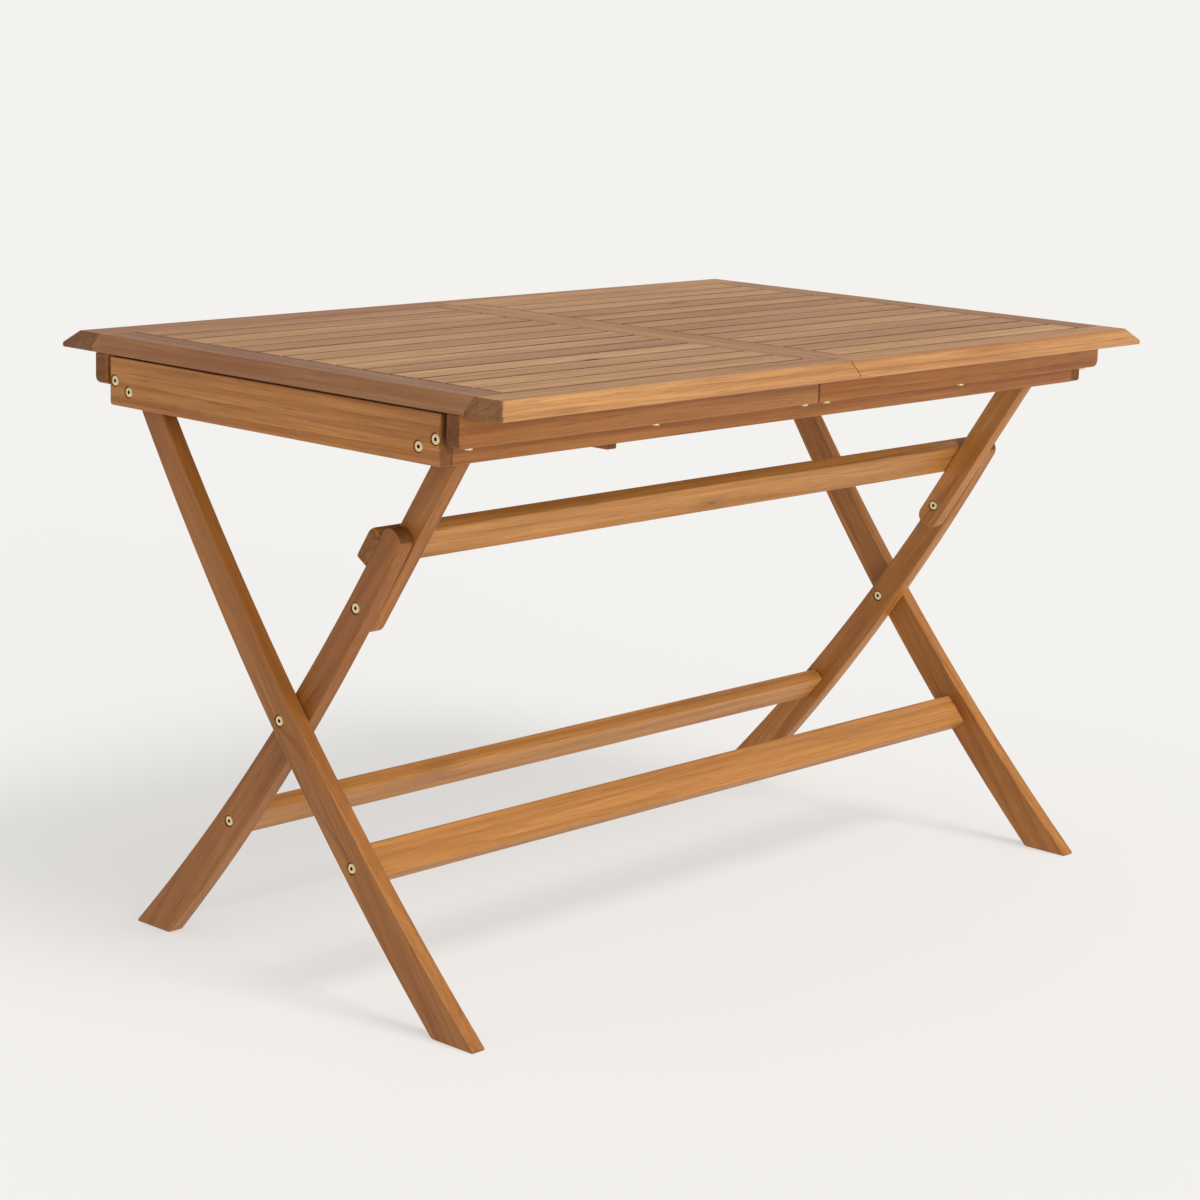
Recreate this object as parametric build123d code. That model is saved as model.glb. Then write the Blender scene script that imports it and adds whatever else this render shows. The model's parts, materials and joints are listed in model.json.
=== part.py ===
from build123d import *
import math
import os

# Folding and extending slatted table. X runs along the top, Y across it, Z up.
# The origin is on the floor under the middle of the top. Millimetres.

# Top
TOP_LENGTH = 1200
TOP_WIDTH = 750
TOP_HEIGHT = 730
BOARD = 20              # thickness of the top boards, rails and legs
BEVEL = 15              # 45 degree bevel round the outer edge of the top
SEAM_GAP = 0.3          # between the two halves when they are closed
CORNER_ROUND = 3
LONG_MEMBER = 58        # width of the front and back members
END_MEMBER = 60
SEAM_MEMBER = 34
SLATS = 14              # in each half, and in the leaf
SLAT_GAP = 5
SLAT_END_GAP = 2
SLAT_EASE = 1.5
TENON_THICK = 8
SLAT_TENON = 12         # length of a slat's tenons
MEMBER_TENON = 25       # length of a cross-member's tenons
TENON_SHOULDER = 7      # a tenon is this much narrower than its board, each side
BATTEN_WIDTH = 40
BATTEN_THICK = 16
BATTEN_REACH = 250

# Rails and end boards
RAIL_BOTTOM = 650.5
RAIL_TOP = 708
INNER_RAIL_FACE = 262   # inner face of the inner rails, from the middle
END_BOARD = 18          # thickness of the end boards
END_BOARD_ROUND = 4
OUTER_RAIL_FACE = 290   # inner face of the outer rails
OUTER_RAIL_BOTTOM = 673
OUTER_RAIL_ROUND = 9
RAIL_SPLIT = 5          # where the left and right outer rails meet
RAIL_SPLIT_GAP = 1.4
GROOVE_DEPTH = 5
GROOVE_LOW = 685.5
GROOVE_HIGH = 697
GROOVE_END = 30         # the groove stops this far from both ends of its rail
SLIDE_TRAVEL = 200
STRIP_END = 550
STRIP_PLAY = 0.5        # round the guide strips

# Bearers and the stored leaf
BEARER_PLACE = 308
BEARER_THICK = 16
BEARER_TOP = 670
BEARER_DROP = 640       # bottom of the deeper bearer, at the left
LEAF_WIDTH = 400

# Legs, in the Y-Z plane
LEG_GAP = 1
OUTER_LEG_FACE = 581.5
INNER_LEG_FACE = OUTER_LEG_FACE - BOARD - LEG_GAP
BRACE_FACE = INNER_LEG_FACE - BOARD - LEG_GAP
PIVOT_Y = 247.5
PIVOT_Z = 669
CROSSING = (-5, 315.3)
KNEE = (-109, 462.8)
OUTER_LEG_FRONT = [(235.3, 690.9), (-21.7, 335), (-336, 0)]
OUTER_LEG_BACK = [(262.8, 673.6), (30.5, 335), (-267, 0)]
INNER_LEG_FRONT = [(-185.5, 551.5), (-66.5, 363), (218.5, 0)]
INNER_LEG_BACK = [(-159.5, 568.5), (-21.9, 363), (283, 0)]
OUTER_LEG_BOLT = (-131.6, 166.8)
INNER_LEG_BOLT = (107.7, 166.8)
LEG_TOP_ROUND = 9
INNER_LEG_TOP_ROUND = 14
FOOT_ROUND = 9          # at the blunt corner of each foot
FOOT_TIP_ROUND = 2
BRACE_WIDTH = 32.5
BRACE_OFFSET = 2.2      # of the brace's middle behind its upper pivot
BRACE_LEAN = -2.8       # and behind the knee
BRACE_ROUND = 13.6
BRACE_ABOVE = 14        # wood beyond the upper pivot
BRACE_BELOW = 32        # and beyond the knee

# Stretchers
STRETCHER_WIDTH = 44
STRETCHER_THICK = 20
STRETCHER_ROUND = 3
OUTER_STRETCHER_SLOPE = 48
INNER_STRETCHER_SLOPE = 50
UPPER_STRETCHER_WIDTH = 45
UPPER_STRETCHER_THICK = 18
UPPER_STRETCHER_ROUND = 7
UPPER_STRETCHER_FROM_TOP = 45               # its middle, along the legs' back edge
UPPER_STRETCHER_LIFT = 0.2

# Brass fittings
HEAD_RADIUS = 6.5
HEAD_THICK = 2.4
HEAD_PLAY = 1
RECESS = 0.8            # the heads lie this far below the wood
SHANK_RADIUS = 3
SLEEVE_RADIUS = 4.5
SLEEVE_LENGTH = 15
SLEEVE_PLAY = 0.1
HEX_RADIUS = 2.4
HEX_DEPTH = 1.9
TURNING_PLAY = 0.3      # round a fitting that turns in wood
SCREW_HEAD_RADIUS = 5
SCREW_RADIUS = 2.2
RAIL_SCREW_LENGTH = 48
RAIL_SCREWS = {"left": (-576, -278, -11), "right": (31, 303, 576)}      # along X
PAN_HEAD = 3.2          # the rail screws' heads hang below the rail
PAN_ROUND = 1.2
STRETCHER_BOLT_LENGTH = 70
CORNER_BOLT_LENGTH = 78
CORNER_BOLT_Y = 273.5
CORNER_BOLT_Z = 680
EDGE_SCREW_LENGTH = 42
EDGE_SCREW_APART = 22
SPACER_RADIUS = 11

TOP_BOTTOM = TOP_HEIGHT - BOARD
HALF_LENGTH = TOP_LENGTH / 2
HALF_WIDTH = TOP_WIDTH / 2
FIELD = HALF_WIDTH - LONG_MEMBER        # half of the width that the slats fill
END_BOARD_FACE = HALF_LENGTH - END_BOARD
OUTER_RAIL_MIDDLE = OUTER_RAIL_FACE + BOARD / 2
SIDES = {"left": -1, "right": 1}
FACES = {"front": -1, "back": 1}

os.makedirs("parts", exist_ok=True)


def write(name, shape):
    """One STEP file for one named node."""
    export_step(shape, "parts/" + name + ".step")


def group(shapes):
    """Separate solids that share one node."""
    return Compound(children=[solid for shape in shapes for solid in shape.solids()])


def block(x0, x1, y0, y1, z0, z1):
    """A box between two opposite corners, given in any order."""
    size = Box(abs(x1 - x0), abs(y1 - y0), abs(z1 - z0))
    return Pos((x0 + x1) / 2, (y0 + y1) / 2, (z0 + z1) / 2) * size


# Fittings are made along +Z: the outer face of the head at the origin, the shank above it.

def socket():
    return extrude(RegularPolygon(HEX_RADIUS, 6), HEX_DEPTH)


def pin(radius, z0, z1):
    return Pos(0, 0, (z0 + z1) / 2) * Cylinder(radius, z1 - z0)


def bolt(length, head_radius=HEAD_RADIUS, shank_radius=SHANK_RADIUS):
    head = pin(head_radius, 0, HEAD_THICK)
    head = chamfer(head.edges().filter_by(GeomType.CIRCLE).sort_by(Axis.Z)[0], RECESS)
    return head + pin(shank_radius, HEAD_THICK, length) - socket()


def bolt_hole(length, head_radius=HEAD_RADIUS, shank_radius=SHANK_RADIUS):
    """What a bolt of the same sizes needs cut away, with a clear ring round its head."""
    mouth = pin(head_radius + HEAD_PLAY, -2 * RECESS, HEAD_THICK)
    return mouth + pin(shank_radius, HEAD_THICK, length)


def sleeve_nut():
    """A flat-headed nut with a barrel that takes the end of a bolt."""
    head = pin(HEAD_RADIUS, 0, HEAD_THICK)
    head = chamfer(head.edges().filter_by(GeomType.CIRCLE).sort_by(Axis.Z)[0], RECESS)
    barrel = pin(SLEEVE_RADIUS, HEAD_THICK, SLEEVE_LENGTH)
    bore = pin(SHANK_RADIUS + SLEEVE_PLAY, HEAD_THICK, SLEEVE_LENGTH)
    return head + barrel - bore - socket()


def sleeve_hole(depth, play):
    """The hole for a sleeve nut, through a board of this thickness."""
    mouth = pin(HEAD_RADIUS + HEAD_PLAY, -2 * RECESS, HEAD_THICK + play)
    return mouth + pin(SLEEVE_RADIUS + play, 0, depth)


def from_outside(face, side, place):
    """A fitting let into a face that looks away from the middle, pointing inwards."""
    return Pos(side * (face - RECESS), place[0], place[1]) * Rot(0, -90 * side, 0)


def from_inside(face, side, place):
    """A fitting let into a face that looks towards the middle, pointing outwards."""
    return Pos(side * (face + RECESS), place[0], place[1]) * Rot(0, 90 * side, 0)


# The top: each panel is cut from one bevelled blank, so its outer faces run through.

def panel_blank(inner, outer, bevelled_end):
    """The outline of a panel, bevelled at the front and back, and at its outer end if asked."""
    blank = block(inner, outer, -HALF_WIDTH, HALF_WIDTH, TOP_BOTTOM, TOP_HEIGHT)
    rim = blank.faces().sort_by(Axis.Z)[-1].edges()
    plain = [inner] if bevelled_end else [inner, outer]
    bevelled = [edge for edge in rim if min(abs(edge.center().X - x) for x in plain) > SEAM_GAP]
    blank = chamfer(bevelled, BEVEL)
    if not bevelled_end:
        return blank
    near_end = [edge for edge in blank.edges() if abs(edge.center().X - outer) < BEVEL]
    hips = [edge for edge in near_end if HALF_WIDTH - abs(edge.center().Y) < BEVEL]
    return fillet(hips, CORNER_ROUND)


def slat_rows():
    """The middle of each slat across the field, and the width of one slat."""
    pitch = (2 * FIELD - SLAT_GAP) / SLATS
    width = pitch - SLAT_GAP
    first = -FIELD + SLAT_GAP + width / 2
    return [first + pitch * row for row in range(SLATS)], width


def slat_tenons(x0, x1, y, width):
    reach = width / 2 - TENON_SHOULDER
    middle = TOP_HEIGHT - BOARD / 2
    return block(x0, x1, y - reach, y + reach, middle - TENON_THICK / 2, middle + TENON_THICK / 2)


def slat(low, high, y, width):
    """One slat with eased top edges and a tenon at each end."""
    board = block(low + SLAT_END_GAP, high - SLAT_END_GAP, y - width / 2, y + width / 2,
                  TOP_BOTTOM, TOP_HEIGHT)
    board = fillet(board.edges().group_by(Axis.Z)[-1], SLAT_EASE)
    return board + slat_tenons(low - SLAT_TENON, high + SLAT_TENON, y, width)


def member_tenons(low, high):
    """The end tenons of a cross-member, as one bar across the top."""
    reach = FIELD + MEMBER_TENON
    middle = TOP_BOTTOM + (BOARD - BEVEL) / 2 + TENON_THICK / 2
    return block(low + TENON_SHOULDER, high - TENON_SHOULDER, -reach, reach,
                 middle - TENON_THICK / 2, middle + TENON_THICK / 2)


def panel(inner, outer, inner_width, outer_width, bevelled_end):
    """The boards of one panel: front, back, inner and outer members, and the slats."""
    way = 1 if outer > inner else -1
    inner_edge = inner + way * inner_width
    outer_edge = outer - way * outer_width
    low, high = sorted((inner_edge, outer_edge))
    bevel = BEVEL if bevelled_end else 0
    blank = panel_blank(inner, outer, bevelled_end)
    field = block(inner, outer, -FIELD, FIELD, TOP_BOTTOM, TOP_HEIGHT)
    inner_tenons = member_tenons(*sorted((inner, inner_edge)))
    outer_tenons = member_tenons(*sorted((outer_edge, outer - way * bevel)))
    rows, width = slat_rows()
    boards = {}
    for face, sign in FACES.items():
        region = block(inner, outer, sign * FIELD, sign * HALF_WIDTH, TOP_BOTTOM, TOP_HEIGHT)
        boards[face] = (blank & region) - inner_tenons - outer_tenons
    inner_member = (field & block(inner, inner_edge, -FIELD, FIELD, TOP_BOTTOM, TOP_HEIGHT)) + inner_tenons
    end = blank & field & block(outer_edge, outer, -FIELD, FIELD, TOP_BOTTOM, TOP_HEIGHT)
    outer_member = end + outer_tenons
    for y in rows:
        tenons = slat_tenons(low - SLAT_TENON, high + SLAT_TENON, y, width)
        inner_member = inner_member - tenons
        outer_member = outer_member - tenons
    boards["inner"] = inner_member
    boards["outer"] = outer_member
    boards["slats"] = [slat(low, high, y, width) for y in rows]
    return boards


def rail_screw():
    """A pan-headed screw, made like the other fittings."""
    head = pin(SCREW_HEAD_RADIUS, 0, PAN_HEAD)
    head = fillet(head.edges().filter_by(GeomType.CIRCLE).sort_by(Axis.Z)[0], PAN_ROUND)
    return head + rail_screw_shank() - socket()


def rail_screw_shank():
    return pin(SCREW_RADIUS, PAN_HEAD, PAN_HEAD + RAIL_SCREW_LENGTH)


def outer_rail(side, sign):
    """The rail fixed under one edge of a half, with a stopped groove for the guide strip."""
    inner = RAIL_SPLIT + side * RAIL_SPLIT_GAP / 2
    outer = side * HALF_LENGTH
    y0 = sign * OUTER_RAIL_FACE
    rail = block(inner, outer, y0, y0 + sign * BOARD, OUTER_RAIL_BOTTOM, TOP_BOTTOM)
    ends = rail.edges().filter_by(Axis.Y).group_by(Axis.Z)[0]
    outer_end = [edge for edge in ends if abs(edge.center().X - outer) < SEAM_GAP]
    rail = fillet(outer_end, OUTER_RAIL_ROUND)
    groove = block(side * GROOVE_END, outer - side * GROOVE_END, y0, y0 + sign * GROOVE_DEPTH,
                   GROOVE_LOW, GROOVE_HIGH)
    return rail - groove


def make_half(name, side):
    """Everything that slides with one half of the top."""
    boards = panel(side * SEAM_GAP / 2, side * HALF_LENGTH, SEAM_MEMBER, END_MEMBER, True)
    screws = []
    for face, sign in FACES.items():
        rail = outer_rail(side, sign)
        for x in RAIL_SCREWS[name]:
            place = Pos(x, sign * OUTER_RAIL_MIDDLE, OUTER_RAIL_BOTTOM - PAN_HEAD)
            screws.append(place * rail_screw())
            hole = place * rail_screw_shank()
            rail = rail - hole
            boards["inner"] = boards["inner"] - hole
            boards["outer"] = boards["outer"] - hole
            boards["slats"] = [board - hole for board in boards["slats"]]
        write("outer_rail_" + face + "_" + name, rail)
        write(face + "_member_" + name, boards[face])
    write("rail_screws_" + name, group(screws))
    write("seam_member_" + name, boards["inner"])
    write("end_member_" + name, boards["outer"])
    write("slats_" + name, group(boards["slats"]))
    middle = side * (SEAM_MEMBER + HALF_LENGTH - END_MEMBER) / 2
    write("slat_batten_" + name, block(
        middle - BATTEN_WIDTH / 2, middle + BATTEN_WIDTH / 2,
        -BATTEN_REACH, BATTEN_REACH, TOP_BOTTOM - BATTEN_THICK, TOP_BOTTOM))


def make_leaf():
    """The extension leaf, turned a quarter and laid on the bearers."""
    half = LEAF_WIDTH / 2
    boards = panel(-half, half, SEAM_MEMBER, SEAM_MEMBER, False)
    stored = Pos(0, 0, BEARER_TOP - TOP_BOTTOM) * Rot(0, 0, 90)
    write("leaf_end_member_right", stored * boards["front"])
    write("leaf_end_member_left", stored * boards["back"])
    write("leaf_side_member_front", stored * boards["inner"])
    write("leaf_side_member_back", stored * boards["outer"])
    write("leaf_slats", group([stored * board for board in boards["slats"]]))


# The fixed frame under the top.

def end_board(side):
    reach = INNER_RAIL_FACE + BOARD
    board = block(side * END_BOARD_FACE, side * HALF_LENGTH, -reach, reach, RAIL_BOTTOM, RAIL_TOP)
    lower = board.edges().filter_by(Axis.X).group_by(Axis.Z)[0]
    board = fillet(lower, END_BOARD_ROUND)
    for sign in FACES.values():
        corner = (sign * CORNER_BOLT_Y, CORNER_BOLT_Z)
        pivot = (sign * PIVOT_Y, PIVOT_Z)
        board = board - from_outside(HALF_LENGTH, side, corner) * bolt_hole(CORNER_BOLT_LENGTH)
        board = board - from_outside(HALF_LENGTH, side, pivot) * bolt_hole(CORNER_BOLT_LENGTH)
    return board


def make_inner_rail(face, sign):
    y0 = sign * INNER_RAIL_FACE
    rail = block(-END_BOARD_FACE, END_BOARD_FACE, y0, y0 + sign * BOARD, RAIL_BOTTOM, RAIL_TOP)
    for side in SIDES.values():
        corner = (sign * CORNER_BOLT_Y, CORNER_BOLT_Z)
        rail = rail - from_outside(HALF_LENGTH, side, corner) * bolt_hole(CORNER_BOLT_LENGTH)
    write("inner_rail_" + face, rail)


def make_guide_strips():
    """Strips on the inner rails that run in the grooves and stop the halves at full travel."""
    first = GROOVE_END + SLIDE_TRAVEL + STRIP_PLAY
    for face, sign in FACES.items():
        y0 = sign * (INNER_RAIL_FACE + BOARD)
        y1 = sign * (OUTER_RAIL_FACE + GROOVE_DEPTH - STRIP_PLAY)
        for name, side in SIDES.items():
            write("guide_strip_" + face + "_" + name, block(
                side * first, side * STRIP_END, y0, y1, GROOVE_LOW + STRIP_PLAY, GROOVE_HIGH - STRIP_PLAY))


def make_bearers():
    """The two battens between the inner rails that carry the leaf."""
    bottoms = {"left": BEARER_DROP, "right": RAIL_BOTTOM}
    for name, side in SIDES.items():
        middle = side * BEARER_PLACE
        write("leaf_bearer_" + name, block(
            middle - BEARER_THICK / 2, middle + BEARER_THICK / 2,
            -INNER_RAIL_FACE, INNER_RAIL_FACE, bottoms[name], BEARER_TOP))


def make_frame():
    corner_bolts = []
    for name, side in SIDES.items():
        write("end_board_" + name, end_board(side))
        for sign in FACES.values():
            place = from_outside(HALF_LENGTH, side, (sign * CORNER_BOLT_Y, CORNER_BOLT_Z))
            corner_bolts.append(place * bolt(CORNER_BOLT_LENGTH))
    write("corner_bolts", group(corner_bolts))
    for face, sign in FACES.items():
        make_inner_rail(face, sign)
    make_guide_strips()
    make_bearers()


def make_frame_pivots():
    """Bolts, sleeve nuts and spacers that the outer legs and the braces turn on."""
    leg_place = (PIVOT_Y, PIVOT_Z)
    brace_place = (-PIVOT_Y, PIVOT_Z)
    leg_inside = OUTER_LEG_FACE - BOARD
    brace_inside = BRACE_FACE - BOARD
    shapes = {"outer_leg_bolts": [], "outer_leg_nuts": [], "brace_bolts": [], "brace_nuts": []}
    for side in SIDES.values():
        leg_length = HALF_LENGTH - leg_inside - 2 * RECESS - HEAD_THICK
        brace_length = HALF_LENGTH - brace_inside - 2 * RECESS - HEAD_THICK
        shapes["outer_leg_bolts"].append(from_outside(HALF_LENGTH, side, leg_place) * bolt(leg_length))
        shapes["brace_bolts"].append(from_outside(HALF_LENGTH, side, brace_place) * bolt(brace_length))
        shapes["outer_leg_nuts"].append(from_inside(leg_inside, side, leg_place) * sleeve_nut())
        shapes["brace_nuts"].append(from_inside(brace_inside, side, brace_place) * sleeve_nut())
    for name, solids in shapes.items():
        write(name, group(solids))
    for name, side in SIDES.items():
        length = END_BOARD_FACE - BRACE_FACE - LEG_GAP / 2
        across = Pos(side * (END_BOARD_FACE - length / 2), *brace_place) * Rot(0, 90, 0)
        write("brace_spacer_" + name, across * (Cylinder(SPACER_RADIUS, length) - Cylinder(SHANK_RADIUS, length)))


# Legs: each is an outline in the Y-Z plane, given its thickness along X.

def rounded(face, corner, radius):
    """Round the corner of a flat outline that lies nearest to this point."""
    nearest = face.vertices().sort_by_distance(Vector(0, *corner))[0]
    return fillet(nearest, radius)


def arc_through(points):
    return ThreePointArc(*[(0, y, z) for y, z in points])


def leg_outline(front, back):
    """A curved leg between two arcs, closed by a straight top and the foot."""
    front_edge = arc_through(front)
    back_edge = arc_through(back)
    top = Line(front_edge @ 0, back_edge @ 0)
    foot = Line(front_edge @ 1, back_edge @ 1)
    return Face(Wire([front_edge, foot, back_edge, top]))


def thicken(outline, face, side):
    """A board with this outline, its outer face at this distance from the middle."""
    board = extrude(outline, BOARD, dir=(1, 0, 0))
    return Pos(side * (face - BOARD / 2) - BOARD / 2, 0, 0) * board


def outer_leg(side):
    outline = leg_outline(OUTER_LEG_FRONT, OUTER_LEG_BACK)
    outline = rounded(outline, OUTER_LEG_FRONT[0], LEG_TOP_ROUND)
    outline = rounded(outline, OUTER_LEG_BACK[0], LEG_TOP_ROUND)
    outline = rounded(outline, OUTER_LEG_FRONT[2], FOOT_TIP_ROUND)
    outline = rounded(outline, OUTER_LEG_BACK[2], FOOT_ROUND)
    leg = thicken(outline, OUTER_LEG_FACE, side)
    inside = OUTER_LEG_FACE - BOARD
    leg = leg - from_inside(inside, side, (PIVOT_Y, PIVOT_Z)) * sleeve_hole(BOARD, TURNING_PLAY)
    leg = leg - from_outside(OUTER_LEG_FACE, side, CROSSING) * bolt_hole(BOARD)
    return leg - from_outside(OUTER_LEG_FACE, side, OUTER_LEG_BOLT) * bolt_hole(BOARD)


def inner_leg(side):
    outline = leg_outline(INNER_LEG_FRONT, INNER_LEG_BACK)
    outline = rounded(outline, INNER_LEG_FRONT[0], INNER_LEG_TOP_ROUND)
    outline = rounded(outline, INNER_LEG_BACK[0], INNER_LEG_TOP_ROUND)
    outline = rounded(outline, INNER_LEG_FRONT[2], FOOT_ROUND)
    outline = rounded(outline, INNER_LEG_BACK[2], FOOT_TIP_ROUND)
    leg = thicken(outline, INNER_LEG_FACE, side)
    inside = INNER_LEG_FACE - BOARD
    leg = leg - from_inside(inside, side, CROSSING) * sleeve_hole(BOARD, 0)
    leg = leg - from_outside(INNER_LEG_FACE, side, KNEE) * bolt_hole(BOARD)
    leg = leg - from_outside(INNER_LEG_FACE, side, INNER_LEG_BOLT) * bolt_hole(BOARD)
    for x, place in edge_screw_places():
        if x * side > 0:
            leg = leg - place * bolt_hole(EDGE_SCREW_LENGTH, SCREW_HEAD_RADIUS, SCREW_RADIUS)
    return leg


def brace(side):
    """The straight upper half of an inner leg, between its pivot and the knee."""
    run = math.dist((-PIVOT_Y, PIVOT_Z), KNEE)
    slope = math.degrees(math.atan2(PIVOT_Z - KNEE[1], PIVOT_Y + KNEE[0]))
    half = BRACE_WIDTH / 2
    upper = BRACE_OFFSET
    lower = BRACE_LEAN
    corners = [(-BRACE_ABOVE, upper - half), (run + BRACE_BELOW, lower - half),
               (run + BRACE_BELOW, lower + half), (-BRACE_ABOVE, upper + half)]
    outline = make_face(Polyline(*corners, close=True))
    outline = fillet(outline.vertices(), BRACE_ROUND)
    board = extrude(outline, BOARD / 2, both=True)
    place = Pos(side * (BRACE_FACE - BOARD / 2), -PIVOT_Y, PIVOT_Z) * Rot(-slope, 0, 0)
    # the outline's length goes along Y and its width along Z before it is tilted
    upright_board = Rot(0, 90, 0) * Rot(0, 0, 90) * board
    board = place * upright_board
    inside = BRACE_FACE - BOARD
    board = board - from_inside(inside, side, (-PIVOT_Y, PIVOT_Z)) * sleeve_hole(BOARD, TURNING_PLAY)
    return board - from_inside(inside, side, KNEE) * sleeve_hole(BOARD, 0)


# Stretchers, with the screws and bolts that hold them.

def stretcher(length, width, thick, radius, place, slope):
    """A bar along X, its long side at this slope in the Y-Z plane."""
    bar = Box(length, width, thick)
    bar = fillet(bar.edges().filter_by(Axis.X), radius)
    return Pos(0, *place) * Rot(slope, 0, 0) * bar


def upper_seat():
    """Where the upper stretcher lies on the inner legs: its +Z points into their back edges."""
    edge = arc_through(INNER_LEG_BACK)
    along = UPPER_STRETCHER_FROM_TOP / edge.length
    place = edge.position_at(along)
    tangent = edge.tangent_at(along)
    turn = math.degrees(math.atan2(-tangent.Z, -tangent.Y))
    return Pos(0, place.Y, place.Z) * Rot(turn, 0, 0) * Pos(0, 0, -UPPER_STRETCHER_LIFT)


def edge_screw_places():
    """The places of the four screws through the upper stretcher into the inner legs' edges."""
    seat = upper_seat()
    places = []
    for side in SIDES.values():
        for along in (-EDGE_SCREW_APART / 2, EDGE_SCREW_APART / 2):
            x = side * (INNER_LEG_FACE - BOARD / 2)
            head = Pos(x, along, -UPPER_STRETCHER_THICK + RECESS)
            places.append((x, seat * head))
    return places


def make_stretchers():
    outer_length = 2 * (OUTER_LEG_FACE - BOARD)
    inner_length = 2 * (INNER_LEG_FACE - BOARD)
    outer = stretcher(outer_length, STRETCHER_WIDTH, STRETCHER_THICK, STRETCHER_ROUND,
                      OUTER_LEG_BOLT, OUTER_STRETCHER_SLOPE)
    inner = stretcher(inner_length, STRETCHER_WIDTH, STRETCHER_THICK, STRETCHER_ROUND,
                      INNER_LEG_BOLT, 180 - INNER_STRETCHER_SLOPE)
    bolts = {"outer_stretcher_bolts": [], "inner_stretcher_bolts": []}
    for side in SIDES.values():
        outer_place = from_outside(OUTER_LEG_FACE, side, OUTER_LEG_BOLT)
        inner_place = from_outside(INNER_LEG_FACE, side, INNER_LEG_BOLT)
        outer = outer - outer_place * bolt_hole(STRETCHER_BOLT_LENGTH)
        inner = inner - inner_place * bolt_hole(STRETCHER_BOLT_LENGTH)
        bolts["outer_stretcher_bolts"].append(outer_place * bolt(STRETCHER_BOLT_LENGTH))
        bolts["inner_stretcher_bolts"].append(inner_place * bolt(STRETCHER_BOLT_LENGTH))
    write("outer_stretcher", outer)
    write("inner_stretcher", inner)
    for name, solids in bolts.items():
        write(name, group(solids))


def make_upper_stretcher():
    bar = Box(2 * INNER_LEG_FACE, UPPER_STRETCHER_WIDTH, UPPER_STRETCHER_THICK)
    bar = fillet(bar.edges().filter_by(Axis.Z), UPPER_STRETCHER_ROUND)
    bar = upper_seat() * Pos(0, 0, -UPPER_STRETCHER_THICK / 2) * bar
    screws = []
    for _, place in edge_screw_places():
        bar = bar - place * bolt_hole(EDGE_SCREW_LENGTH, SCREW_HEAD_RADIUS, SCREW_RADIUS)
        screws.append(place * bolt(EDGE_SCREW_LENGTH, SCREW_HEAD_RADIUS, SCREW_RADIUS))
    write("upper_stretcher", bar)
    write("upper_stretcher_screws", group(screws))


def make_leg_pivots():
    """The crossing and the knee: a bolt in one board, and its sleeve nut in the other."""
    length = BOARD - RECESS
    crossing_bolts = []
    crossing_nuts = []
    knee_bolts = []
    knee_nuts = []
    for side in SIDES.values():
        crossing_bolts.append(from_outside(OUTER_LEG_FACE, side, CROSSING) * bolt(length))
        crossing_nuts.append(from_inside(INNER_LEG_FACE - BOARD, side, CROSSING) * sleeve_nut())
        knee_bolts.append(from_outside(INNER_LEG_FACE, side, KNEE) * bolt(length))
        knee_nuts.append(from_inside(BRACE_FACE - BOARD, side, KNEE) * sleeve_nut())
    write("crossing_bolts", group(crossing_bolts))
    write("crossing_nuts", group(crossing_nuts))
    write("knee_bolts", group(knee_bolts))
    write("knee_nuts", group(knee_nuts))


def make_legs():
    for name, side in SIDES.items():
        write("outer_leg_" + name, outer_leg(side))
        write("inner_leg_" + name, inner_leg(side))
        write("leg_brace_" + name, brace(side))
    make_stretchers()
    make_upper_stretcher()
    make_leg_pivots()


for half_name, half_side in SIDES.items():
    make_half(half_name, half_side)
make_leaf()
make_frame()
make_frame_pivots()
make_legs()
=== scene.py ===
import bpy, bmesh, json, math, random
from mathutils import Matrix, Vector


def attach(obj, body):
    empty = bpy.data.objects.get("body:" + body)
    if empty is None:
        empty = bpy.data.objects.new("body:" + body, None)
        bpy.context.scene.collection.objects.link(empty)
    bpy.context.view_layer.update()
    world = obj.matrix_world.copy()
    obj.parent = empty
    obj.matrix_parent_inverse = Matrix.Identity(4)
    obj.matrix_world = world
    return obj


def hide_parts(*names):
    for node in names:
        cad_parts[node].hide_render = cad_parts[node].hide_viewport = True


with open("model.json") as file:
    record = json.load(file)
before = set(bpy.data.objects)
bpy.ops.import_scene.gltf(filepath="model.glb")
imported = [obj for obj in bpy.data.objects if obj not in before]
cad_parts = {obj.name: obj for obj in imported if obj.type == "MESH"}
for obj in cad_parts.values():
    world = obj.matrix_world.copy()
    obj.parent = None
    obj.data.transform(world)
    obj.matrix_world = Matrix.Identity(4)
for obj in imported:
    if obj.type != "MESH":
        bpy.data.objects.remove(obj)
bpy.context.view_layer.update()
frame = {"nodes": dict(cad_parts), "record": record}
scene = bpy.context.scene
record = frame["record"]
boardRandom = random.Random(41)


# camera: looks along the left end and the front of the table
cameraSetup = {
    "place": (-2.8088, -2.5541, 1.1778),
    "yaw": 47.355,      # turned from +Y towards +X
    "pitch": -11.879,
    "roll": 1.816,
    "lens": 90.27,
}

def addCamera(setup):
    data = bpy.data.cameras.new("tableCamera")
    data.lens = setup["lens"]
    data.sensor_width = 36
    camera = bpy.data.objects.new("tableCamera", data)
    scene.collection.objects.link(camera)
    turn = Matrix.Rotation(math.radians(-setup["yaw"]), 4, "Z")
    tilt = Matrix.Rotation(math.radians(90 + setup["pitch"]), 4, "X")
    roll = Matrix.Rotation(math.radians(setup["roll"]), 4, "Z")
    camera.matrix_world = Matrix.Translation(setup["place"]) @ turn @ tilt @ roll
    scene.camera = camera
    print("camera placed")


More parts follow.
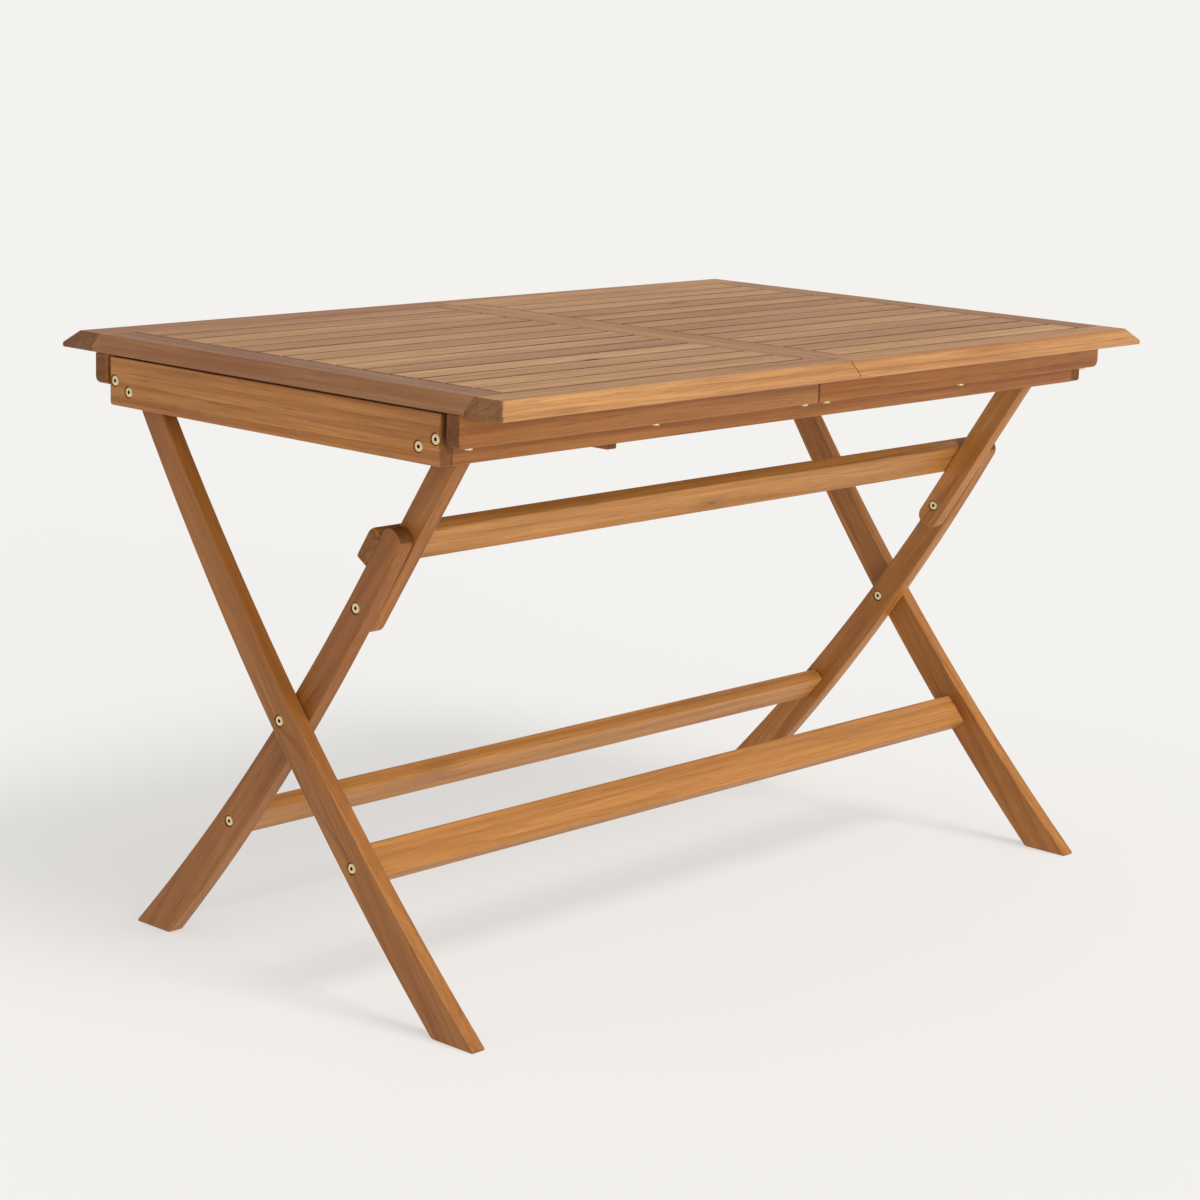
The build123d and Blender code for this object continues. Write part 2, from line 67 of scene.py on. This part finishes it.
# studio: pale endless floor, soft sky light, and one broad light from the front
studio = {
    "paper": (0.905, 0.896, 0.880),
    "skyStrength": 0.52,
    "floorGlow": 0.555,          # the floor paper glows on its own, so shadows on it stay faint and it lights the table from below
    "floorShare": 0.46,
    "floorSize": 2400.0,
    "floorDrop": 0.0002,         # keeps the paper just clear of the feet
    "lights": [
        # name, where it shines from, angular size in degrees, strength, colour
        ("frontLight", (0.25, -1.25, 1.65), 26, 1.45, (1.0, 0.985, 0.965)),
        ("lowLight", (-0.38, -1.25, 0.16), 40, 1.75, (1.0, 0.985, 0.965)),
    ],
}

def addStudio(setup):
    world = bpy.data.worlds.new("paleStudio")
    world.use_nodes = True
    tree = world.node_tree
    sky = tree.nodes["Background"]
    sky.inputs["Color"].default_value = (1.0, 0.995, 0.985, 1)
    sky.inputs["Strength"].default_value = setup["skyStrength"]
    beyond = addNode(tree, "ShaderNodeBackground", {"Color": (*setup["paper"], 1), "Strength": 1.0})
    mix = addNode(tree, "ShaderNodeMixShader")      # past the floor's edge the paper goes on
    link(tree, addNode(tree, "ShaderNodeLightPath").outputs["Is Camera Ray"], mix.inputs["Fac"])
    link(tree, sky.outputs["Background"], mix.inputs[1])
    link(tree, beyond.outputs["Background"], mix.inputs[2])
    link(tree, mix.outputs["Shader"], tree.nodes["World Output"].inputs["Surface"])
    scene.world = world
    for name, place, spread, strength, colour in setup["lights"]:
        data = bpy.data.lights.new(name, "SUN")
        data.angle = math.radians(spread)
        data.energy = strength
        data.color = colour
        light = bpy.data.objects.new(name, data)
        light.location = place
        light.rotation_euler = (-Vector(place)).to_track_quat("-Z", "Y").to_euler()
        scene.collection.objects.link(light)
    bm = bmesh.new()
    bmesh.ops.create_grid(bm, x_segments=1, y_segments=1, size=setup["floorSize"] / 2)
    mesh = bpy.data.meshes.new("studioFloor")
    bm.to_mesh(mesh)
    bm.free()
    floor = bpy.data.objects.new("studioFloor", mesh)
    floor.location.z = -setup["floorDrop"]
    scene.collection.objects.link(floor)
    floor.data.materials.append(floorPaper(setup))
    scene.view_settings.view_transform = "Standard"
    print("studio ready")


# node helpers
def newMaterial(name):
    material = bpy.data.materials.new(name)
    material.use_nodes = True
    return material, material.node_tree, material.node_tree.nodes["Principled BSDF"]

def addNode(tree, kind, values=None, **settings):
    node = tree.nodes.new(kind)
    for key, value in settings.items():
        setattr(node, key, value)
    for key, value in (values or {}).items():
        node.inputs[key].default_value = value
    return node

def link(tree, source, target):
    tree.links.new(source, target)

def floorPaper(setup):
    material, tree, shader = newMaterial("floorPaper")
    noise = addNode(tree, "ShaderNodeTexNoise", {"Scale": 3.0, "Detail": 3.0})
    place = addNode(tree, "ShaderNodeTexCoord")
    link(tree, place.outputs["Object"], noise.inputs["Vector"])
    lit = [c * setup["floorShare"] for c in setup["paper"]]
    shade = mixColour(tree, noise.outputs["Fac"], lit, [c * 0.985 for c in lit])
    link(tree, shade, shader.inputs["Base Color"])
    shader.inputs["Roughness"].default_value = 1.0
    shader.inputs["Specular IOR Level"].default_value = 0.0
    # the paper glows by itself: this glow thins the shadows on it and lights the underside of the table
    shader.inputs["Emission Color"].default_value = (*setup["paper"], 1)
    shader.inputs["Emission Strength"].default_value = setup["floorGlow"]
    return material


# wood: one group, placed in each wood material with its own values
def groupSocket(group, name, kind, way, value=None):
    item = group.interface.new_socket(name=name, in_out=way, socket_type=kind)
    if value is not None:
        item.default_value = value

def mathNode(tree, operation, a, b=None, clamp=False):
    node = tree.nodes.new("ShaderNodeMath")
    node.operation = operation
    node.use_clamp = clamp
    for slotIndex, value in enumerate((a, b)):
        if value is None:
            continue
        if isinstance(value, (int, float)):
            node.inputs[slotIndex].default_value = value
        else:
            tree.links.new(value, node.inputs[slotIndex])
    return node.outputs[0]

def mapRange(tree, value, low, high, newLow, newHigh):
    node = addNode(tree, "ShaderNodeMapRange")
    link(tree, value, node.inputs["Value"])
    node.inputs["From Min"].default_value = low
    node.inputs["From Max"].default_value = high
    node.inputs["To Min"].default_value = newLow
    node.inputs["To Max"].default_value = newHigh
    return node.outputs["Result"]

def mixColour(tree, amount, first, second, blend="MIX"):
    node = addNode(tree, "ShaderNodeMixRGB", blend_type=blend)
    for key, value in (("Fac", amount), ("Color1", first), ("Color2", second)):
        if hasattr(value, "links"):
            link(tree, value, node.inputs[key])
        elif key == "Fac":
            node.inputs[key].default_value = value
        else:
            node.inputs[key].default_value = (*value, 1)
    return node.outputs["Color"]

def stretched(tree, vector, scale, detail, roughness=0.55, distortion=0.0):
    mapping = addNode(tree, "ShaderNodeMapping")
    mapping.inputs["Scale"].default_value = scale
    noise = addNode(tree, "ShaderNodeTexNoise", {
        "Scale": 1.0, "Detail": detail, "Roughness": roughness, "Distortion": distortion})
    link(tree, vector, mapping.inputs["Vector"])
    link(tree, mapping.outputs["Vector"], noise.inputs["Vector"])
    return noise.outputs["Fac"]

def woodGrainGroup():
    group = bpy.data.node_groups.new("oiledHardwood", "ShaderNodeTree")
    groupSocket(group, "Vector", "NodeSocketVector", "INPUT")
    groupSocket(group, "Tone", "NodeSocketFloat", "INPUT", 0.5)
    groupSocket(group, "End Grain", "NodeSocketFloat", "INPUT", 0.0)
    groupSocket(group, "Edge", "NodeSocketFloat", "INPUT", 0.0)
    groupSocket(group, "Gap Shade", "NodeSocketFloat", "INPUT", 0.0)
    groupSocket(group, "Light Wood", "NodeSocketColor", "INPUT", (0.5, 0.25, 0.1, 1))
    groupSocket(group, "Dark Wood", "NodeSocketColor", "INPUT", (0.25, 0.09, 0.03, 1))
    groupSocket(group, "Red Wood", "NodeSocketColor", "INPUT", (0.35, 0.12, 0.04, 1))
    groupSocket(group, "Figure", "NodeSocketFloat", "INPUT", 0.5)
    groupSocket(group, "Color", "NodeSocketColor", "OUTPUT")
    groupSocket(group, "Roughness", "NodeSocketFloat", "OUTPUT")
    groupSocket(group, "Height", "NodeSocketFloat", "OUTPUT")
    entry = addNode(group, "NodeGroupInput")
    leave = addNode(group, "NodeGroupOutput")
    vector = entry.outputs["Vector"]

    rings = addNode(group, "ShaderNodeTexWave", {
        "Scale": 26.0, "Distortion": 6.0, "Detail": 2.5, "Detail Scale": 1.4, "Detail Roughness": 0.6},
        wave_type="RINGS", rings_direction="X", wave_profile="SAW")
    ringMap = addNode(group, "ShaderNodeMapping")
    ringMap.inputs["Scale"].default_value = (0.05, 1, 1)
    link(group, vector, ringMap.inputs["Vector"])
    link(group, ringMap.outputs["Vector"], rings.inputs["Vector"])
    ring = mathNode(group, "POWER", rings.outputs["Fac"], 2.2)

    streaks = stretched(group, vector, (2.2, 70, 70), 5.0, 0.64, 0.5)
    broad = stretched(group, vector, (1.5, 14, 14), 2.0, 0.5, 0.6)
    fibres = stretched(group, vector, (9, 620, 620), 2.0, 0.5)
    pores = stretched(group, vector, (24, 900, 900), 1.0, 0.4)
    poreMask = mapRange(group, pores, 0.63, 0.72, 0.0, 1.0)

    streakMask = mapRange(group, streaks, 0.38, 0.62, 0.0, 1.0)
    broadMask = mapRange(group, broad, 0.3, 0.7, 0.0, 1.0)
    figure = mathNode(group, "MULTIPLY", ring, entry.outputs["Figure"])
    dark = mathNode(group, "ADD", mathNode(group, "MULTIPLY", streakMask, 0.55), figure)
    dark = mathNode(group, "ADD", dark, mathNode(group, "MULTIPLY", broadMask, 0.26), clamp=True)
    body = mixColour(group, dark, entry.outputs["Light Wood"], entry.outputs["Dark Wood"])
    redAmount = mathNode(group, "MULTIPLY", mapRange(group, entry.outputs["Tone"], 0.0, 1.0, -0.3, 0.95),
                         mapRange(group, broad, 0.3, 0.6, 0.35, 1.0), clamp=True)
    body = mixColour(group, redAmount, body, entry.outputs["Red Wood"])
    fibreShade = mapRange(group, fibres, 0.3, 0.7, 0.86, 1.1)
    toneShade = mapRange(group, entry.outputs["Tone"], 0.0, 1.0, 1.22, 0.74)
    shade = mathNode(group, "MULTIPLY", fibreShade, toneShade)
    shadeColour = addNode(group, "ShaderNodeCombineColor")
    for channel in ("Red", "Green", "Blue"):
        link(group, shade, shadeColour.inputs[channel])
    body = mixColour(group, 1.0, body, shadeColour.outputs["Color"], "MULTIPLY")
    body = mixColour(group, mathNode(group, "MULTIPLY", poreMask, 0.35), body, (0.09, 0.035, 0.015))

    # knots: sparse dark eyes with a soft halo, drawn out along the grain
    knotMap = addNode(group, "ShaderNodeMapping")
    knotMap.inputs["Scale"].default_value = (4.5, 14, 14)
    cells = addNode(group, "ShaderNodeTexVoronoi", {"Scale": 1.0})
    link(group, vector, knotMap.inputs["Vector"])
    link(group, knotMap.outputs["Vector"], cells.inputs["Vector"])
    pick = addNode(group, "ShaderNodeSeparateColor")
    link(group, cells.outputs["Color"], pick.inputs["Color"])
    chosen = mapRange(group, pick.outputs["Red"], 0.60, 0.62, 0.0, 1.0)
    ragged = mathNode(group, "ADD", cells.outputs["Distance"],
                      mathNode(group, "MULTIPLY", mathNode(group, "SUBTRACT", fibres, 0.5), 0.05))
    halo = mathNode(group, "MULTIPLY", mapRange(group, ragged, 0.07, 0.22, 0.55, 0.0), chosen)
    eye = mathNode(group, "MULTIPLY", mapRange(group, ragged, 0.035, 0.075, 0.85, 0.0), chosen)
    body = mixColour(group, halo, body, entry.outputs["Dark Wood"])
    body = mixColour(group, eye, body, (0.055, 0.022, 0.010))

    # end grain soaks up the oil: darker, with fine dots
    dots = addNode(group, "ShaderNodeTexNoise", {"Scale": 1300.0, "Detail": 2.0})
    link(group, vector, dots.inputs["Vector"])
    dotShade = mixColour(group, mapRange(group, dots.outputs["Fac"], 0.4, 0.62, 0.0, 1.0),
                         (0.64, 0.60, 0.52), (0.36, 0.31, 0.24))
    endBody = mixColour(group, 1.0, body, dotShade, "MULTIPLY")
    body = mixColour(group, entry.outputs["End Grain"], body, endBody)

    # painted highlight and painted shade: eased edges are painted paler, as if catching the light, and faces
    # in the gaps are painted darker, as if in shade
    # painted highlight: eased edge faces are painted up to 1.5 times paler, as if catching the light
    paintedEdgeHighlight = mathNode(group, "MULTIPLY", entry.outputs["Edge"], mapRange(group, streaks, 0.3, 0.7, 0.8, 0.35))
    body = mixColour(group, paintedEdgeHighlight, body, mixColour(group, 1.0, body, (1.5, 1.38, 1.25), "MULTIPLY"))
    # painted shade: faces looking into the gaps between boards are darkened as if shadowed
    paintedGapShade = mathNode(group, "MULTIPLY", entry.outputs["Gap Shade"], mapRange(group, broad, 0.3, 0.7, 0.6, 0.95))
    body = mixColour(group, paintedGapShade, body, mixColour(group, 1.0, body, (0.26, 0.20, 0.17), "MULTIPLY"))
    link(group, body, leave.inputs["Color"])

    rough = mathNode(group, "ADD", mapRange(group, streaks, 0.3, 0.7, 0.40, 0.50),
                     mathNode(group, "MULTIPLY", poreMask, 0.15))
    rough = mathNode(group, "ADD", rough, mathNode(group, "MULTIPLY", entry.outputs["End Grain"], 0.18))
    link(group, rough, leave.inputs["Roughness"])
    height = mathNode(group, "SUBTRACT", mathNode(group, "MULTIPLY", fibres, 0.5),
                      mathNode(group, "MULTIPLY", poreMask, 0.6))
    height = mathNode(group, "ADD", height, mathNode(group, "MULTIPLY", streaks, 0.35))
    link(group, height, leave.inputs["Height"])
    return group

woodFinishes = {
    # light, dark and red wood, how strongly the rings show, and the sheen of the oil
    "slatWood": ((0.58, 0.315, 0.115), (0.330, 0.142, 0.042), (0.40, 0.140, 0.036), 0.30, 0.55),
    "topWood": ((0.55, 0.275, 0.088), (0.290, 0.105, 0.024), (0.33, 0.105, 0.026), 0.34, 0.55),
    "railWood": ((0.44, 0.186, 0.045), (0.250, 0.080, 0.014), (0.34, 0.100, 0.018), 0.36, 0.34),
    "legWood": ((0.49, 0.206, 0.045), (0.275, 0.096, 0.016), (0.33, 0.105, 0.020), 0.36, 0.34),
    "barWood": ((0.52, 0.240, 0.062), (0.320, 0.126, 0.028), (0.41, 0.150, 0.032), 0.36, 0.34),
}

def woodMaterial(name, group):
    light, dark, red, figure, sheen = woodFinishes[name]
    material, tree, shader = newMaterial(name)
    grain = addNode(tree, "ShaderNodeGroup")
    grain.node_tree = group
    for key, attribute, output in (("Vector", "grain", "Vector"), ("Tone", "tone", "Fac"),
                                   ("End Grain", "endGrain", "Fac"), ("Edge", "edge", "Fac"),
                                   ("Gap Shade", "gapShade", "Fac")):
        source = addNode(tree, "ShaderNodeAttribute", attribute_name=attribute)
        link(tree, source.outputs[output], grain.inputs[key])
    grain.inputs["Light Wood"].default_value = (*light, 1)
    grain.inputs["Dark Wood"].default_value = (*dark, 1)
    grain.inputs["Red Wood"].default_value = (*red, 1)
    grain.inputs["Figure"].default_value = figure
    bump = addNode(tree, "ShaderNodeBump", {"Strength": 0.35, "Distance": 0.0006})
    link(tree, grain.outputs["Color"], shader.inputs["Base Color"])
    link(tree, grain.outputs["Roughness"], shader.inputs["Roughness"])
    link(tree, grain.outputs["Height"], bump.inputs["Height"])
    link(tree, bump.outputs["Normal"], shader.inputs["Normal"])
    shader.inputs["Specular IOR Level"].default_value = sheen
    return material


# metal
def metalMaterial(name, bright, dull, roughness):
    material, tree, shader = newMaterial(name)
    place = addNode(tree, "ShaderNodeTexCoord")
    cloud = addNode(tree, "ShaderNodeTexNoise", {"Scale": 420.0, "Detail": 4.0})
    fine = addNode(tree, "ShaderNodeTexNoise", {"Scale": 2600.0, "Detail": 2.0})
    for noise in (cloud, fine):
        link(tree, place.outputs["Object"], noise.inputs["Vector"])
    colour = mixColour(tree, mapRange(tree, cloud.outputs["Fac"], 0.35, 0.7, 0.0, 1.0), bright, dull)
    socketShade = addNode(tree, "ShaderNodeAttribute", attribute_name="socketShade")
    # painted shade: socket faces are painted near black, as if in shadow
    colour = mixColour(tree, socketShade.outputs["Fac"], colour, [c * 0.10 for c in dull])
    link(tree, colour, shader.inputs["Base Color"])
    link(tree, mapRange(tree, fine.outputs["Fac"], 0.3, 0.7, roughness - 0.06, roughness + 0.1),
         shader.inputs["Roughness"])
    bump = addNode(tree, "ShaderNodeBump", {"Strength": 0.25, "Distance": 0.0001})
    link(tree, fine.outputs["Fac"], bump.inputs["Height"])
    link(tree, bump.outputs["Normal"], shader.inputs["Normal"])
    shader.inputs["Metallic"].default_value = 1.0
    return material


# boards: each wooden node becomes a piece with eased edges and its own grain
easing = {
    "width": 0.0016,
    "segments": 3,
    "sharp": math.radians(50),
    "crease": math.radians(15),
    "holeRim": 0.018,       # sharp rims smaller than this stay crisp
    "merge": 1e-6,
    "flat": math.radians(0.4),
    "acrossGrain": 0.6,     # faces turned further than this along the board show end grain
}

def islands(bm):
    # always in mesh order, so each board gets the same grain every time
    seen = set()
    for start in bm.faces:
        if start in seen:
            continue
        seen.add(start)
        island = [start]
        for member in island:
            for face in (f for e in member.edges for f in e.link_faces):
                if face not in seen:
                    seen.add(face)
                    island.append(face)
        yield island

def sharpRuns(bm, angle):
    sharp = [e for e in bm.edges if len(e.link_faces) == 2 and e.is_convex and e.calc_face_angle(0) > angle]
    left = set(sharp)
    for start in sharp:
        if start not in left:
            continue
        left.remove(start)
        run = [start]
        for member in run:
            for edge in (e for v in member.verts for e in v.link_edges):
                if edge in left:
                    left.remove(edge)
                    run.append(edge)
        yield run

def span(verts):
    low = [min(v.co[k] for v in verts) for k in range(3)]
    high = [max(v.co[k] for v in verts) for k in range(3)]
    return max(high[k] - low[k] for k in range(3))

slatField = {
    "halfWidth": 0.318,
    "fromSeam": 0.03,
    "toEnd": 0.541,
    "upward": 0.75,         # steeper faces of a slat look into a gap
    "upright": 0.5,
}

def gapShadeAmount(node, face):
    # painted shade: faces between the slats, and board faces that look onto them, are marked to be painted
    # darker, as if in shade
    normal = face.normal
    if node.startswith("slats") or node == "leaf_slats":
        return 1.0 if normal.z < slatField["upward"] else 0.0
    middle = face.calc_center_median()
    if "_member_" in node and abs(normal.z) < slatField["upright"] and not node.startswith("leaf"):
        towards = -normal.y * middle.y if node.startswith(("front", "back")) else 1.0
        inLength = slatField["fromSeam"] < abs(middle.x) < slatField["toEnd"]
        inField = inLength and abs(middle.y) < slatField["halfWidth"]
        return 1.0 if inField and towards > 0 else 0.0
    return 0.0

def grainFrame(direction):
    along = Vector(direction).normalized()
    return along.to_track_quat("X", "Z").to_matrix().transposed()

def board(node, body, material, direction):
    bm = bmesh.new()
    bm.from_mesh(frame["nodes"][node].data)
    bmesh.ops.remove_doubles(bm, verts=bm.verts, dist=easing["merge"])
    bmesh.ops.dissolve_limit(bm, angle_limit=easing["flat"], verts=bm.verts, edges=bm.edges)
    bmesh.ops.triangulate(bm, faces=[f for f in bm.faces if len(f.verts) > 4])
    eased = []
    for run in sharpRuns(bm, easing["sharp"]):
        if span([v for e in run for v in e.verts]) > easing["holeRim"]:
            eased += run
    made = bmesh.ops.bevel(bm, geom=eased, offset=easing["width"], offset_type="OFFSET",
                           segments=easing["segments"], profile=0.5, affect="EDGES",
                           clamp_overlap=False, material=-1)
    edgeFaces = set(made["faces"])
    turn = grainFrame(direction)
    along = Vector(direction).normalized()
    grain = bm.verts.layers.float_vector.new("grain")
    tone = bm.faces.layers.float.new("tone")
    endGrain = bm.faces.layers.float.new("endGrain")
    edge = bm.faces.layers.float.new("edge")
    gapShade = bm.faces.layers.float.new("gapShade")
    for island in list(islands(bm)):
        # each board is cut from another length of the timber, off the heart of the tree
        alongShift = boardRandom.uniform(0, 40)
        shift = Vector((alongShift, boardRandom.uniform(0.01, 0.06), boardRandom.uniform(0.01, 0.06)))
        boardTone = boardTones.get(node, boardRandom.uniform(0.12, 0.66))
        verts = list(dict.fromkeys(v for f in island for v in f.verts))
        middle = sum((v.co for v in verts), Vector()) / len(verts)
        for vert in verts:
            vert[grain] = turn @ (vert.co - middle) + shift
        for face in island:
            face[tone] = boardTone
            face[endGrain] = 1.0 if abs(face.normal.dot(along)) > easing["acrossGrain"] else 0.0
            face[edge] = 1.0 if face in edgeFaces else 0.0
            # marks the faces that get painted shade in the gaps
            face[gapShade] = gapShadeAmount(node, face)
    mesh = bpy.data.meshes.new(node + ".wood")
    bm.to_mesh(mesh)
    bm.free()
    mesh.shade_smooth()
    mesh.set_sharp_from_angle(angle=easing["crease"])
    piece = bpy.data.objects.new(node + ".wood", mesh)
    scene.collection.objects.link(piece)
    mesh.materials.append(material)
    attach(piece, body)
    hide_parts(node)
    return piece


# boards that stand out from the rest: 0 is pale and golden, 1 dark and red
boardTones = {
    "end_member_left": 0.98, "end_member_right": 0.6,
    "front_member_left": 0.34, "front_member_right": 0.26,
    "seam_member_left": 0.5, "seam_member_right": 0.35,
    "end_board_left": 0.12, "end_board_right": 0.3,
    "outer_rail_front_left": 0.50, "outer_rail_front_right": 0.36, "inner_rail_front": 0.40,
    "outer_leg_left": 0.62, "outer_leg_right": 0.40,
    "inner_leg_left": 0.72, "inner_leg_right": 0.34,
    "leg_brace_left": 0.55, "leg_brace_right": 0.30,
    "outer_stretcher": 0.42, "inner_stretcher": 0.02, "upper_stretcher": 0.12,
}

# fittings: the CAD shape with its rims broken, and painted shade in the sockets
fittings = {
    "rim": 0.00022,
    "segments": 2,
    "sharp": math.radians(35),
    "crease": math.radians(30),
}

def fitting(node, body, material):
    bm = bmesh.new()
    bm.from_mesh(frame["nodes"][node].data)
    bmesh.ops.remove_doubles(bm, verts=bm.verts, dist=easing["merge"])
    bmesh.ops.dissolve_limit(bm, angle_limit=easing["flat"], verts=bm.verts, edges=bm.edges)
    socketShade = bm.faces.layers.float.new("socketShade")
    # faces on concave edges, inside the sockets, are marked for painted shade
    for edge in bm.edges:
        if len(edge.link_faces) == 2 and not edge.is_convex and edge.calc_face_angle(0) > fittings["sharp"]:
            for face in edge.link_faces:
                face[socketShade] = 1.0
    rims = [e for e in bm.edges if len(e.link_faces) == 2 and e.is_convex
            and e.calc_face_angle(0) > fittings["sharp"] and not any(f[socketShade] for f in e.link_faces)]
    bmesh.ops.bevel(bm, geom=rims, offset=fittings["rim"], offset_type="OFFSET",
                    segments=fittings["segments"], profile=0.5, affect="EDGES",
                    clamp_overlap=False, material=-1)
    mesh = bpy.data.meshes.new(node + ".metal")
    bm.to_mesh(mesh)
    bm.free()
    mesh.shade_smooth()
    mesh.set_sharp_from_angle(angle=fittings["crease"])
    piece = bpy.data.objects.new(node + ".metal", mesh)
    scene.collection.objects.link(piece)
    mesh.materials.append(material)
    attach(piece, body)
    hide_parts(node)
    return piece


alongTop = (1, 0, 0)
acrossTop = (0, 1, 0)
legSlope = math.radians(53)
outerLegGrain = (0, math.cos(legSlope), math.sin(legSlope))
innerLegGrain = (0, -math.cos(legSlope), math.sin(legSlope))

def grainOf(node):
    if node.startswith("outer_leg"):
        return outerLegGrain
    if node.startswith(("inner_leg", "leg_brace")):
        return innerLegGrain
    across = ("seam_member", "end_member", "end_board", "slat_batten",
              "leaf_bearer", "leaf_end", "leaf_slats")
    return acrossTop if node.startswith(across) else alongTop

def dress():
    group = woodGrainGroup()
    woods = {"slat_wood": "slatWood", "top_wood": "topWood", "rail_wood": "railWood", "leg_wood": "legWood"}
    materials = {slot: woodMaterial(name, group) for slot, name in woods.items()}
    bars = woodMaterial("barWood", group)
    materials["brass"] = metalMaterial("paleBrass", (0.83, 0.70, 0.42), (0.66, 0.52, 0.27), 0.30)
    materials["steel"] = metalMaterial("zincTube", (0.60, 0.60, 0.58), (0.44, 0.44, 0.43), 0.38)
    print("materials made:", len(materials) + 1)
    slots = {part["node"]: part["material_slot"] for part in record["subparts"]}
    bodies = {node: body for body, nodes in record["behaviour"]["bodies"].items() for node in nodes}
    for node in sorted(slots):
        slot = slots[node]
        if slot in woods:
            wood = bars if node.endswith("stretcher") else materials[slot]
            piece = board(node, bodies[node], wood, grainOf(node))
            continue
        fitting(node, bodies[node], materials[slot])
    print("pieces dressed:", len(slots))


addCamera(cameraSetup)
addStudio(studio)
dress()
